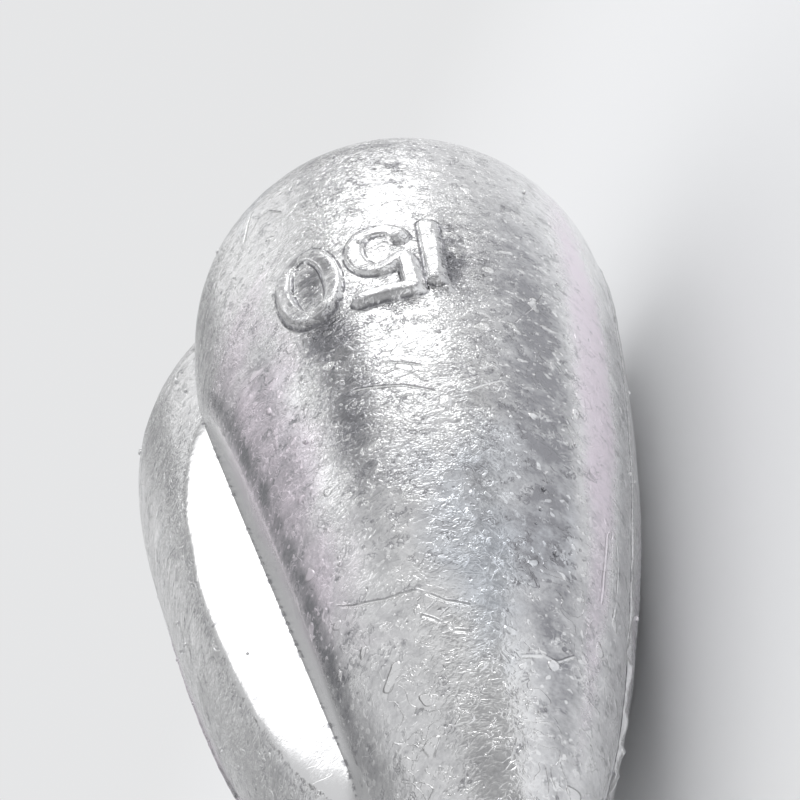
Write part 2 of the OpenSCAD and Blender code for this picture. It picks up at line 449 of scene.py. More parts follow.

# %% [markdown]
# Small drips and blisters sit round the number, where the cutter left burrs in the mould. Each row
# below is a drip's angle, height, radius and rise. Some places were found like those of the fold lines
# further on, and the rest were set between them.

# %% Drips round the number
DRIPS = [(29.4, 8.4, 0.24, 0.14), (59, 12.6, 0.13, 0.16), (58.6, 12.95, 0.16, 0.12), (47.5, 11.9, 0.17, 0.13),
         (50, 12.1, 0.12, 0.1), (16, 7.6, 0.15, 0.12), (17.5, 9.1, 0.2, 0.12), (16.5, 10.4, 0.16, 0.14),
         (18, 11.4, 0.2, 0.12), (19.8, 12.5, 0.22, 0.16), (22.5, 12.8, 0.14, 0.12), (14.5, 9.8, 0.14, 0.1)]
DRIP_EDGE = 4

for angle, height, radius, rise in DRIPS:
    away = np.hypot(np.radians(own_degrees - angle) * lobe_r_here, z - height) / radius
    grid = grid + (np.where(side > 0, rise, 0) * np.exp(-(away**DRIP_EDGE)))[..., None] * outward
print("drips", len(DRIPS))

# %% [markdown]
# Lead dulls where it cooled last and where fingers never rub it, so its skin has grey patches, some
# brighter ones and a breath of lilac or blue. The patches are partly that tarnish and partly painted
# light: a dark one is painted shade where the lead would mirror a dim stretch of room, and a bright,
# lilac or blue one is a painted reflection of a lighter or tinted stretch. They are broad and have
# their own places, so each is a row: the lobe (1 for the numbered one), the angle and height of its
# middle, half its size in degrees and in millimetres, and its strength. A dull patch of negative
# strength is brighter, and a tinted one is blue. The rough patch is the burred skin beside the figure
# one. Places and strengths were set by comparing the tones of the photograph and the render in 35
# small windows.

# %% Dull, tinted and rough patches
# Dark rows are partly tarnish and partly painted shade; rows of negative strength are painted reflection.
TARNISH_AND_PAINTED_LIGHT_PATCHES = [
    (1, 1, 15, 13, 12, 1.0), (1, -8, 28, 16, 8, 0.6), (1, 32, 0, 22, 4, 0.45), (1, -38, 14, 5, 15, 0.5),
    (1, 52, 17, 8, 5.5, 1.0), (1, 54.7, 9.6, 4.5, 1.5, 1.1), (1, 54, 13.4, 7, 0.9, 0.9),
    (1, 5, 27, 10, 3, 0.3), (-1, 15, 12, 16, 8, 0.7), (-1, -40, 20, 12, 6, 0.6), (-1, 75, 8, 9, 6, 0.5),
    (1, -22, 15, 8, 17, -0.35), (1, -26, 3, 14, 5, -0.4), (1, 16.5, 10, 3.5, 3, 1.2),
    (1, 70, 2, 14, 6, -0.4), (1, -6, 17, 7, 9, 0.4), (1, 72, 14, 7, 8, 0.55), (1, 36, 22, 26, 4.5, 0.32),
    (1, 67, 1.5, 10, 3, 0.35), (1, -17, 6, 7, 3.5, 0.3), (1, 27, 31, 14, 3.5, -0.3),
    (-1, -78, 23, 10, 4, -0.6), (1, -8, 32, 7, 3, 0.3),
]
# Lilac and blue patches, partly oxide tint and partly painted reflection.
OXIDE_AND_PAINTED_REFLECTION_TINTS = [
    (1, 84, 18, 22, 12, 0.9), (1, -23, 16, 9, 17, 1.0), (1, -62, 22, 10, 12, 0.5),
    (1, 22, 26, 22, 6, -0.8), (1, -8, 26, 12, 6, -0.4), (-1, 60, 10, 20, 10, 0.7),
    (-1, -45, 14, 14, 12, 0.8), (1, 70, -3, 20, 4, -0.4),
]
ROUGH_PATCH = (15.5, 10, 4.5, 3)
PATCH_EDGE = 1.5


def how_far_out(angle, height, half_angle, half_height):
    """0 in the middle of a patch and 1 on its outline, squared."""
    return ((own_degrees - angle) / half_angle) ** 2 + ((z - height) / half_height) ** 2


def patch_sum(rows):
    """The sum of all patches of one kind."""
    total = np.zeros_like(z)
    for patch_side, *shape, strength in rows:
        patch = np.exp(-(how_far_out(*shape) ** PATCH_EDGE))
        total = total + np.where(side == patch_side, strength, 0) * patch
    return total


dull, tint = patch_sum(TARNISH_AND_PAINTED_LIGHT_PATCHES), patch_sum(OXIDE_AND_PAINTED_REFLECTION_TINTS)
burred = np.exp(-how_far_out(*ROUGH_PATCH)) * (side > 0)
print("dull share of the skin", round(float((dull > 0.5).mean()), 3))

# %% [markdown]
# Where two tongues of lead met half frozen, a hairline stayed. The longest ones are runs of points,
# each the angle about the lobe's middle line and the height. The points were picked in the photograph
# by eye, and a separate script turned the picked pixels into angles and heights, rounded here. A vertex
# keeps its signed distance from the nearest run, and the finish turns that into a line finer than the grid.

# %% Fold lines
FOLDS_ACROSS = [
    (1, [(28, 28.9), (37, 28.5), (46, 27.7), (58, 27.4), (70, 26.7), (81, 25.6)]),
    (1, [(30, 29.9), (36, 29.7), (42, 29.1), (47, 28.7)]),
    (1, [(9, 18.1), (18, 18.8), (26, 18.9), (36, 18.1), (49, 17.4)]),
    (1, [(22, 17.3), (30, 17.2), (40, 16.4)]),
    (1, [(-14, 30.2), (-5, 30.8), (1, 30.7), (12, 30.9)]),
    (1, [(-35, 23.7), (-32, 23.2), (-29, 23.1), (-27, 23.5)]),
    (-1, [(-94, 12.8), (-88, 11.8), (-82, 11.3), (-77, 10.1)]),
    (1, [(58, 2.1), (62, 1.0), (66, 0.9), (71, 1.9)]),
    (1, [(-8, 10.8), (-4, 12.4), (3, 14.2)]),
]
FOLDS_ALONG = [
    (1, [(-27, 23.4), (-26.6, 24.9), (-26.4, 26.4), (-25.6, 27.4)]),
    (1, [(-33, 23.4), (-35, 24.6), (-35.4, 26), (-34, 27.4)]),
    (1, [(64, -1.6), (67, -0.6), (69.5, 0.4), (72, 2)]),
]


def nearer(nearest, away, run_side, along, stops):
    """Takes the distance to one run where the run reaches and is the nearest so far."""
    inside = (side == run_side) & (along > stops[0]) & (along < stops[-1])
    return np.where(inside & (np.abs(away) < np.abs(nearest)), away, nearest)


fold_offset = np.full(z.shape, FAR_OFF)
for run_side, run in FOLDS_ACROSS:
    angles, heights = np.array(run).T
    away = z - np.interp(own_degrees, angles, heights)
    fold_offset = nearer(fold_offset, away, run_side, own_degrees, angles)
for run_side, run in FOLDS_ALONG:
    angles, heights = np.array(run).T
    away = np.radians(own_degrees - np.interp(z, heights, angles)) * lobe_r_here
    fold_offset = nearer(fold_offset, away, run_side, z, heights)
print("vertices by a fold line", int((np.abs(fold_offset) < FAR_OFF).sum()))

# %% [markdown]
# The finish has to know where the smooth flanks of the grooves begin. A vertex measures how far past
# the shoulder it is, and the share of flank rises from 0 to 1 over that edge. A band of painted shade
# lies just inside both shoulders of the numbered lobe, so the dull number grows there.

# %% Flanks and painted shade at the shoulders
FLANK_EDGE = 0.6
FLANK_HEIGHTS = (5, 7, 31, 34)
SHOULDER_PAINTED_SHADE, SHOULDER_INSIDE, SHOULDER_HALF = 1.1, 0.6, 0.55
SHOULDER_SHADE_HEIGHTS = (4, 9, 28, 33)

fold = np.arctan2(np.abs(grid[..., 1]), np.abs(grid[..., 0]))
height = np.clip(grid[..., 2], 0, FROZEN_Z)
edge_own = shoulder_angle(height)
edge_azimuth = np.arctan2(
    lobe_radius(height) * np.sin(edge_own), lobe_middle(height) + lobe_radius(height) * np.cos(edge_own))
past_edge = (fold - edge_azimuth) * np.hypot(grid[..., 0], grid[..., 1])
flank_share = np.clip(past_edge / FLANK_EDGE + 0.5, 0, 1) * np.interp(grid[..., 2], FLANK_HEIGHTS, FADE)
# A band of painted shade along the inside of each shoulder.
shoulder_painted_shade = SHOULDER_PAINTED_SHADE * np.exp(-(((past_edge + SHOULDER_INSIDE) / SHOULDER_HALF) ** 2))
dull = dull + shoulder_painted_shade * np.interp(grid[..., 2], SHOULDER_SHADE_HEIGHTS, FADE) * (side > 0)
print("flank share of the skin", round(float((flank_share > 0.5).mean()), 3))

# %% [markdown]
# The grid becomes one closed mesh: a tip vertex at the fat end, a ring of quads between each pair of
# rows, and a last vertex at the bottom of the hole. Some numbers go with every vertex for the finish to
# read: how smooth, dull or burred it is, and how far from the parting line, a fold or a digit's edge.

# %% Build the casting's mesh
def mesh_from(name, points, faces):
    """A smooth mesh object whose place is in its mesh."""
    mesh = bpy.data.meshes.new(name)
    mesh.from_pydata([tuple(point) for point in points], [], [tuple(face) for face in faces])
    mesh.shade_smooth()
    piece = bpy.data.objects.new(name, mesh)
    bpy.context.scene.collection.objects.link(piece)
    return piece


def give(piece, name, values):
    """Stores one number for each vertex."""
    layer = piece.data.attributes.new(name, "FLOAT", "POINT")
    layer.data.foreach_set("value", np.asarray(values, dtype=np.float32).ravel())


def closed_grid_faces(rows, columns):
    """Quads between rows that go round, and fans to a first and a last vertex."""
    index = np.arange(rows * columns).reshape(rows, columns) + 1
    beside = np.roll(index, -1, axis=1)
    quads = np.stack([index[:-1], index[1:], beside[1:], beside[:-1]], -1).reshape(-1, 4)
    last = rows * columns + 1
    first_fan = [(0, a, b) for a, b in zip(index[0], beside[0])]
    last_fan = [(last, b, a) for a, b in zip(index[-1], beside[-1])]
    return [*first_fan, *quads.tolist(), *last_fan]


fat_tip = (0, 0, -np.sqrt(LOBE_R**2 - LOBE_OFFSET**2))
hole_floor = (0, 0, NECK_Z - HOLE_DEPTH)
points = np.concatenate([[fat_tip], grid.reshape(-1, 3), [hole_floor]])
casting = mesh_from("cast_lead_body", placed(points), closed_grid_faces(*grid.shape[:2]))
vertex_numbers = {
    "flank": (flank_share, 0), "dull": (dull, 0), "burred": (burred, 0), "tint": (tint, 0),
    "seam": (seam_offset, FAR_OFF), "fold": (fold_offset, FAR_OFF), "digit": (digit_depth, -FAR_OFF),
}
for label, (values, at_tips) in vertex_numbers.items():
    give(casting, label, np.concatenate([[at_tips], values.ravel(), [at_tips]]))
print("casting", len(casting.data.vertices), "vertices", len(casting.data.polygons), "faces")

# %% [markdown]
# ## Node trees as sums
#
# The skin and every finish below are node trees. A tree of maths nodes is hard to read, so a small
# class stands for a socket, and Python's own operators on it add the Math nodes. One method adds any
# other node: its settings first, then its sockets' values or links.

# %% A socket that takes part in sums
class Field:
    """An output socket of a tree, for use in Python expressions."""

    def __init__(self, tree, socket=None):
        self.tree = tree
        self.socket = socket

    def node(self, kind, settings=None, inputs=None, output=0):
        """Adds a node and returns one of its outputs."""
        new = self.tree.nodes.new(kind)
        for name, value in (settings or {}).items():
            setattr(new, name, value)
        for name, value in (inputs or {}).items():
            if isinstance(value, Field):
                self.tree.links.new(value.socket, new.inputs[name])
            else:
                new.inputs[name].default_value = value
        return Field(self.tree, new.outputs[output])

    def maths(self, operation, *terms, clamp=False):
        settings = {"operation": operation, "use_clamp": clamp}
        return self.node("ShaderNodeMath", settings, dict(enumerate(terms)))

    def __add__(self, other):
        return self.maths("ADD", self, other)

    def __sub__(self, other):
        return self.maths("SUBTRACT", self, other)

    def __rsub__(self, other):
        return self.maths("SUBTRACT", other, self)

    def __mul__(self, other):
        return self.maths("MULTIPLY", self, other)

    __radd__ = __add__
    __rmul__ = __mul__

    def size(self):
        return self.maths("ABSOLUTE", self)

    def clamped(self):
        return self.maths("ADD", self, 0.0, clamp=True)

    def step(self, low, high):
        """Rises smoothly from 0 at low to 1 at high."""
        settings = {"interpolation_type": "SMOOTHSTEP"}
        return self.node("ShaderNodeMapRange", settings, {0: self, 1: low, 2: high})

    def scaled(self, factor):
        """A vector times one number."""
        return self.node("ShaderNodeVectorMath", {"operation": "SCALE"}, {0: self, "Scale": factor})

    def stretched(self, factors):
        """A vector times another, part by part."""
        return self.node("ShaderNodeVectorMath", {"operation": "MULTIPLY"}, {0: self, 1: factors})

    def part(self, axis):
        """One part of a vector: 0 for x, 1 for y and 2 for z."""
        return self.node("ShaderNodeSeparateXYZ", None, {0: self}, output=axis)

    def noise(self, scale, detail, roughness, distortion, seed):
        """Noise over this vector, from 0 to 1."""
        inputs = {"Vector": self, "W": seed, "Scale": scale, "Detail": detail,
                  "Roughness": roughness, "Distortion": distortion}
        return self.node("ShaderNodeTexNoise", {"noise_dimensions": "4D"}, inputs)


print("maths on sockets:", [name for name in ("__add__", "__rsub__", "__rmul__") if hasattr(Field, name)])

# %% [markdown]
# ## The finish of cast lead
#
# Fresh lead is bright and cool grey. Air dulls it unevenly: the tops of the ripples stay bright, the
# hollows go grey, and thin oxide gives patches a breath of lilac or blue. Into that the finish also
# paints light: painted shade in some dull patches, in scars, ditches and shoulders and at the digits,
# and painted highlights and reflections in some bright and tinted patches, on glints, drops, fold
# crests and the parting fin. Metal shows its colour only in what it mirrors, so four pale colours are
# enough. The helpers below are shared with the brass.

# %% Colours of lead and helpers for finishes
LEAD_DULL = (0.33, 0.33, 0.35)
LEAD_BRIGHT = (0.93, 0.93, 0.935)
LEAD_LILAC = (0.93, 0.855, 0.925)
LEAD_BLUE = (0.83, 0.87, 0.93)


def new_finish(name):
    """A node material with one Principled shader; returns it, the shader and a Field to build on."""
    material = bpy.data.materials.new(name)
    material.use_nodes = True
    shader = material.node_tree.nodes["Principled BSDF"]
    return material, shader, Field(material.node_tree)


def object_place(build):
    """The place on the object in millimetres, so every size below is a true one."""
    return build.node("ShaderNodeTexCoord", output=3).scaled(1 / MM)


def join(value, socket):
    value.tree.links.new(value.socket, socket)


def number_of(build, name):
    """A number that is stored at the vertices."""
    return build.node("ShaderNodeAttribute", {"attribute_name": name}, output=2)


def mixed_colour(build, share, first, second):
    ends = [value if isinstance(value, Field) else (*value, 1) for value in (first, second)]
    return build.node("ShaderNodeMix", {"data_type": "RGBA"}, {0: share, 6: ends[0], 7: ends[1]}, output=2)


def bump_of(build, height):
    """A bump whose height is in millimetres."""
    return build.node("ShaderNodeBump", None, {"Strength": 1.0, "Distance": MM, "Height": height})


print("lead reflects from", min(LEAD_DULL), "to", max(LEAD_BRIGHT), "of the light")

# %% [markdown]
# Every mark on the cast skin is a noise of its own. A row of the table gives its features per
# millimetre, detail, roughness, distortion and seed. A noise that is cut off at a high value leaves
# patches or dots, and the places where a noise passes its middle make thin wandering lines. An image of
# real lead would show more, but it would fit one sinker from one side only.

# %% Marks of the cast skin
NOISES = {
    "ripple": (1.25, 4.0, 0.55, 0.4, 3.0), "grain": (6.5, 2.0, 0.6, 0.0, 8.0),
    "web": (2.4, 2.0, 0.5, 0.8, 7.0), "hair": (0.55, 1.0, 0.4, 1.6, 11.0),
    "glint": (2.6, 2.0, 0.5, 1.4, 17.0), "scar_and_painted_shade": (2.2, 2.0, 0.5, 1.4, 23.0),
    "hair_here": (0.5, 1.0, 0.5, 0.0, 13.0), "glint_here": (1.7, 1.0, 0.5, 0.0, 19.0),
    "scar_and_painted_shade_here": (1.5, 1.0, 0.5, 0.0, 25.0), "pit": (2.2, 1.0, 0.4, 0.0, 5.0),
    "glinting_speck": (4.4, 0.0, 0.5, 0.0, 29.0), "drop": (1.15, 0.0, 0.5, 0.0, 35.0),
    "border": (2.2, 3.0, 0.7, 0.0, 9.0), "calm": (0.3, 2.0, 0.5, 0.5, 21.0),
    "fold_here": (0.9, 2.0, 0.5, 0.0, 27.0), "rim_here": (1.8, 1.0, 0.5, 0.0, 4.0),
    "dull": (0.9, 3.0, 0.6, 0.4, 15.0), "crease_dot": (3.6, 2.0, 0.6, 0.0, 31.0),
    "flank_mark": (1.3, 3.0, 0.6, 0.3, 33.0), "tint": (0.25, 3.0, 0.55, 0.6, 2.0),
}
CUT_OFF = {
    "hair_here": (0.45, 0.55), "glint_here": (0.54, 0.64), "scar_and_painted_shade_here": (0.54, 0.64), "pit": (0.70, 0.76),
    "glinting_speck": (0.69, 0.75), "drop": (0.71, 0.75), "calm": (0.38, 0.6), "fold_here": (0.36, 0.56),
    "rim_here": (0.3, 0.5), "crease_dot": (0.5, 0.62), "flank_mark": (0.64, 0.7),
}
THINNESS = {"web": 8, "hair": 90, "glint": 15, "scar_and_painted_shade": 13}
ACROSS_THE_FLOW = (1.0, 1.35, 1.0)


def noise_of(vector, name):
    return vector.noise(*NOISES[name])


def patches_of(vector, name):
    """Patches or dots where a noise is high."""
    return noise_of(vector, name).step(*CUT_OFF[name])


def lines_of(vector, name):
    """Thin lines where a noise passes its middle."""
    return (1 - (noise_of(vector, name) - 0.5).size() * THINNESS[name]).clamped()


def skin_marks(place):
    """Every mark of the skin as a number from 0 to 1."""
    across = place.stretched(ACROSS_THE_FLOW)
    marks = {name: patches_of(place, name) for name in ("pit", "glinting_speck", "drop")}
    # The finish paints glints and glinting specks as highlights and scars as shade.
    for name, vector in {"hair": across, "glint": place, "scar_and_painted_shade": place}.items():
        marks[name] = lines_of(vector, name) * patches_of(place, name + "_here")
    marks["ripple"], marks["grain"] = noise_of(across, "ripple"), noise_of(place, "grain")
    marks["web"] = lines_of(across, "web")
    return marks


print("noises in the finish", len(NOISES))

# %% [markdown]
# Fold lines, the parting line and the foot of each digit follow the numbers that the vertices carry. A
# fold has a crest and a ditch beside it, and so has the parting line: its fin and a small dip. The finish
# paints a highlight on each crest and on the fin, and shade in each ditch, in the dip and round the foot
# of each digit. Each is given as its signed distance from the line and half its width, in millimetres.

# %% Lines that follow the shape
LINES = {
    "crest": ("fold", 0.06, 0.1), "ditch": ("fold", -0.04, 0.05), "rib": ("seam", 0.0, 0.09),
    "gap": ("seam", 0.2, 0.1), "rim": ("digit", -0.04, 0.09),
}
BROKEN_BY = {"crest": "fold_here", "ditch": "fold_here", "rim": "rim_here"}


def line_at(distance, middle, half):
    """1 on a line at one signed distance, falling to 0 at its edges."""
    return 1 - (distance - middle).size().step(0.0, half)


def shape_lines(build, place):
    """Each line as a number from 0 to 1, with gaps where a noise breaks it."""
    found = {}
    for name, (number, middle, half) in LINES.items():
        found[name] = line_at(number_of(build, number), middle, half)
        if name in BROKEN_BY:
            found[name] = found[name] * patches_of(place, BROKEN_BY[name])
    return found


print("lines:", ", ".join(LINES))

# %% [markdown]
# The skin isn't rough everywhere. It is smooth on the flanks, whose border is ragged, and on the tops of
# the digits, and rough beside the figure one. Some patches, the tinted bands and the narrow half are
# calmer than the rest. These shares scale the marks below.

# %% Where the skin is smooth, calm, stained or painted with shade
RAGGED_BORDER = 0.9
FLANK_STEP, TOP_STEP = (0.42, 0.58), (0.02, 0.16)
FLANK_SMOOTH, TOP_SMOOTH, BURR_ROUGH = 0.94, 0.55, 2.0
CALM_LEAST, CALM_RANGE = 0.42, 0.7
VEIL_CALM, NARROW_CALM = 0.3, 0.35
NARROW_STEP = (-4.0, 6.0)
DULL_UNEVEN, DULL_LESS, TOP_CLEAN = 1.6, 0.1, 0.7
CREASE_DOTS = (-0.05, 0.11)
FLANK_MARKS = 0.6


def skin_state(build, place):
    """Shares of flank, digit top and tint, and how strong the marks are."""
    border = (noise_of(place, "border") - 0.5) * RAGGED_BORDER
    flank = (number_of(build, "flank") + border).step(*FLANK_STEP)
    top = number_of(build, "digit").step(*TOP_STEP)
    veil = number_of(build, "tint").clamped()
    narrow = place.scaled(-1.0).part(1).step(*NARROW_STEP)
    strength = (1 - flank * FLANK_SMOOTH) * (1 - top * TOP_SMOOTH)
    strength = strength * (number_of(build, "burred") * BURR_ROUGH + 1)
    calm = patches_of(place, "calm") * CALM_RANGE + CALM_LEAST
    calm = calm * (1 - veil * VEIL_CALM) * (1 - narrow * NARROW_CALM)
    return flank, top, veil, strength, calm


def stain_and_painted_light_of(build, place, flank, top):
    """Oxide with painted shade and reflection in dull patches; dots and marks on the flanks and along the
    crease.
    """
    uneven = noise_of(place, "dull") * DULL_UNEVEN - DULL_LESS
    dots = line_at(place.part(0), *CREASE_DOTS) * patches_of(place, "crease_dot")
    return number_of(build, "dull") * uneven * (1 - top * TOP_CLEAN) + (
        dots + patches_of(place, "flank_mark") * FLANK_MARKS) * flank


print("flanks keep", round(1 - FLANK_SMOOTH, 2), "of the ripples")

# %% [markdown]
# Now the finish itself. Each mark has a height in millimetres, which makes the bump, and a share of
# shine, which mixes dull lead with bright. Rubbed ripples, web, grain and hairlines are brighter and
# pits are dull. Glints, glinting specks and drops are painted highlights as well as bumps, scars are
# painted shade as well as dents, and the tops of the digits get a little painted shade. The roughness
# varies a little with the grain, so reflections break up at their edges.

# %% The finish of cast lead
MARK_HEIGHTS = {"ripple": 0.06, "web": 0.012, "grain": 0.014, "hair": 0.03, "pit": -0.05,
                "glint": 0.02, "scar_and_painted_shade": -0.02, "glinting_speck": 0.02}
LINE_HEIGHTS = {"crest": 0.05, "ditch": -0.02, "rib": 0.06, "gap": -0.03, "rim": -0.06}
DROP_HEIGHT, VEIL_GRAIN = 0.05, 0.012
# The scar weight paints shade along the scars; ripple, web, grain and hair are brighter where rubbed, pits
# duller.
MARK_SHINES = {"ripple": 0.9, "web": 0.1, "grain": 0.5, "hair": 0.5, "scar_and_painted_shade": -0.5, "pit": -0.4}
# Painted highlight on crests and the fin, painted shade in ditches, beside the fin and round the digits.
LINE_PAINTED_LIGHT_AND_SHADE = {"rib": 1.0, "crest": 0.9, "ditch": -0.4, "gap": -0.5, "rim": -0.9}
# Drops and glints get painted highlights, and digit tops a little painted shade.
CALM_SHINE, FLANK_SHINE, DROP_PAINTED_HIGHLIGHT, TOP_PAINTED_SHADE, PAINTED_GLINT_SHINE = 0.12, 0.95, 0.6, -0.2, 0.6
STAIN_STRENGTH, TINT_STRENGTH = 0.9, 1.6
TINT_STEP = (0.15, 1.0)
ROUGHNESS, GRAIN_ROUGHNESS, FLANK_ROUGHNESS, VEIL_ROUGHNESS = 0.13, 0.16, 0.06, 0.14


def weighed(fields, weights):
    """The sum of some numbers, each times its weight."""
    return sum(fields[name] * weight for name, weight in weights.items())


def lead_height(marks, lines, flank, top, veil, strength, calm):
    """How far the skin stands out, in millimetres."""
    height = weighed(marks, MARK_HEIGHTS) * strength * calm
    height = height + marks["drop"] * DROP_HEIGHT * (1 - flank) * (1 - top)
    return height + marks["grain"] * veil * VEIL_GRAIN + weighed(lines, LINE_HEIGHTS)


def lead_shine(marks, lines, flank, top, calm, stain_and_painted_light):
    """0 for dull lead to 1 for bright, with painted highlights and painted shade in it."""
    shine = (weighed(marks, MARK_SHINES) + calm * CALM_SHINE).clamped() * (1 - flank) + flank * FLANK_SHINE
    shine = shine + weighed(lines, LINE_PAINTED_LIGHT_AND_SHADE) + marks["drop"] * DROP_PAINTED_HIGHLIGHT + top * TOP_PAINTED_SHADE
    glints = (marks["glint"] + marks["glinting_speck"]) * PAINTED_GLINT_SHINE * (1 - flank)
    # Stain carries painted shade and reflection as well as real stains.
    return (shine - stain_and_painted_light * STAIN_STRENGTH + glints).clamped()


def lead_finish():
    material, shader, build = new_finish("cast_lead")
    place = object_place(build)
    marks, lines = skin_marks(place), shape_lines(build, place)
    flank, top, veil, strength, calm = skin_state(build, place)
    height = lead_height(marks, lines, flank, top, veil, strength, calm)
    shine = lead_shine(marks, lines, flank, top, calm, stain_and_painted_light_of(build, place, flank, top))
    # The lilac and blue tint is partly oxide and partly painted reflection; shine holds painted highlights
    # and shade.
    tint = number_of(build, "tint") + (noise_of(place, "tint") - 0.5) * TINT_STRENGTH
    bright = mixed_colour(build, tint.step(*TINT_STEP), LEAD_BRIGHT, LEAD_LILAC)
    bright = mixed_colour(build, (0 - tint).step(*TINT_STEP), bright, LEAD_BLUE)
    roughness = marks["grain"] * GRAIN_ROUGHNESS - flank * FLANK_ROUGHNESS + veil * VEIL_ROUGHNESS + ROUGHNESS
    join(mixed_colour(build, shine, LEAD_DULL, bright), shader.inputs["Base Color"])
    join(bump_of(build, height), shader.inputs["Normal"])
    join(roughness, shader.inputs["Roughness"])
    shader.inputs["Metallic"].default_value = 1.0
    print("lead finish has", len(material.node_tree.nodes), "nodes")
    return material


lead = lead_finish()

# %% [markdown]
# ## The cast skin
#
# Lead that runs into a cool mould freezes in ripples that lie across its flow, and small drops of it
# stand out where the mould was rough. A Geometry Nodes tree gives the body both: noise that is
# stretched round the sinker moves the surface in and out, and beads are scattered over it. The flanks
# of the grooves came out of the mould smooth, so the flank number holds the ripples down there.
# A tree is run through a modifier, and its result is kept as a plain mesh.

# %% Helpers for geometry trees
SOCKET_KINDS = {int: "NodeSocketInt", float: "NodeSocketFloat"}


def geometry_tree(name, sizes):
    """An empty geometry tree with named inputs; returns it, its inputs and its output node."""
    tree = bpy.data.node_groups.new(name, "GeometryNodeTree")
    tree.interface.new_socket("Geometry", in_out="INPUT", socket_type="NodeSocketGeometry")
    for label, value in sizes.items():
        tree.interface.new_socket(label, in_out="INPUT", socket_type=SOCKET_KINDS[type(value)])
    tree.interface.new_socket("Geometry", in_out="OUTPUT", socket_type="NodeSocketGeometry")
    entry = tree.nodes.new("NodeGroupInput")
    inputs = {socket.name: Field(tree, socket) for socket in entry.outputs if socket.name}
    return tree, inputs, tree.nodes.new("NodeGroupOutput")


def applied(piece, tree, sizes):
    """Runs a geometry tree on a piece and keeps the result as its plain mesh."""
    modifier = piece.modifiers.new(tree.name, "NODES")
    modifier.node_group = tree
    for item in tree.interface.items_tree:
        if item.in_out == "INPUT" and item.name in sizes:
            modifier[item.identifier] = sizes[item.name]
    evaluated = piece.evaluated_get(bpy.context.evaluated_depsgraph_get())
    mesh = bpy.data.meshes.new_from_object(evaluated)
    piece.modifiers.remove(modifier)
    old = piece.data
    piece.data = mesh
    bpy.data.meshes.remove(old)
    mesh.name = piece.name
    print(piece.name, "has", len(mesh.polygons), "faces after", tree.name)


print("kinds of input:", ", ".join(SOCKET_KINDS.values()))

# %% [markdown]
# The tree first moves the skin along its normals, by ripples and by broader lumps. Then it scatters
# points over the moved skin, fewer on the flanks, and puts a small ball of a random size on each. A
# ball gets the numbers that keep flank polish and lines off it. Realize Instances makes them real.

# %% The skin tree
SKIN = {"Ripple Depth": 0.09, "Lump Depth": 0.12, "Bead Radius": 0.11, "Bead Density": 0.05, "Seed": 7}
ROUND_THE_BODY = (0.35, 1.3, 0.35)
SKIN_RIPPLE = (1.0, 3.0, 0.6, 0.8, 1.0)
SKIN_LUMPS = (0.22, 2.0, 0.5, 0.4, 4.0)
FLANK_QUIET = 0.9
LEAST_BEAD, MOST_BEAD = 0.45, 1.25


def skin_tree():
    tree, inputs, out = geometry_tree("cast_skin", SKIN)
    build = Field(tree)
    place = build.node("GeometryNodeInputPosition").scaled(1 / MM)
    normal = build.node("GeometryNodeInputNormal")
    flank = build.node("GeometryNodeInputNamedAttribute", {"data_type": "FLOAT"}, {"Name": "flank"})
    loose = 1 - flank * FLANK_QUIET
    ripple = place.stretched(ROUND_THE_BODY).noise(*SKIN_RIPPLE) - 0.5
    lumps = place.noise(*SKIN_LUMPS) - 0.5
    move = (ripple * inputs["Ripple Depth"] + lumps * inputs["Lump Depth"]) * loose * MM
    skin = build.node(
        "GeometryNodeSetPosition", None, {"Geometry": inputs["Geometry"], "Offset": normal.scaled(move)})
    density = inputs["Bead Density"] * (1 / MM**2) * loose
    points = build.node(
        "GeometryNodeDistributePointsOnFaces", None,
        {"Mesh": skin, "Density": density, "Seed": inputs["Seed"]})
    bead = build.node(
        "GeometryNodeMeshIcoSphere", None, {"Radius": inputs["Bead Radius"] * MM, "Subdivisions": 2})
    for label, value in {"flank": 1.0, "seam": FAR_OFF, "fold": FAR_OFF, "digit": -FAR_OFF}.items():
        bead = build.node(
            "GeometryNodeStoreNamedAttribute", None, {"Geometry": bead, "Name": label, "Value": value})
    size = build.node(
        "FunctionNodeRandomValue", {"data_type": "FLOAT"},
        {2: LEAST_BEAD, 3: MOST_BEAD, "Seed": inputs["Seed"]}, output=1)
    beads = build.node(
        "GeometryNodeInstanceOnPoints", None, {"Points": points, "Instance": bead, "Scale": size})
    joined = build.node("GeometryNodeJoinGeometry", None, {"Geometry": skin})
    tree.links.new(beads.socket, joined.socket.node.inputs["Geometry"])
    real = build.node("GeometryNodeRealizeInstances", None, {"Geometry": joined})
    smooth = build.node("GeometryNodeSetShadeSmooth", None, {"Geometry": real})
    finished = build.node("GeometryNodeSetMaterial", None, {"Geometry": smooth, "Material": lead})
    join(finished, out.inputs["Geometry"])
    return tree


applied(casting, skin_tree(), SKIN)
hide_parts("lead_casting")
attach(casting, "lead_body")

# %% [markdown]
# ## The brass swivel
#
# The barrel and the two wire eyes are turned and drawn, so their true shape is plain, and their solids
# from the frame already have it. They keep those solids and get a finish: fine scratches that lie round
# the parts, and tarnish that darkens and dulls the brass in patches.

# %% The finish of brass
BRASS = (0.78, 0.60, 0.28)
BRASS_TARNISHED = (0.56, 0.41, 0.2)
SCRATCH_STRETCH = (0.6, 5.0, 0.6)
SCRATCH = (1.5, 4.0, 0.6, 0.3, 2.0)
TARNISH = (0.35, 3.0, 0.6, 0.5, 6.0)
TARNISH_STEP = (0.4, 0.7)
TARNISH_COLOUR, TARNISH_ROUGHNESS = 0.6, 0.14
SCRATCH_HEIGHT, SCRATCH_ROUGHNESS, BRASS_ROUGHNESS = 0.02, 0.16, 0.18


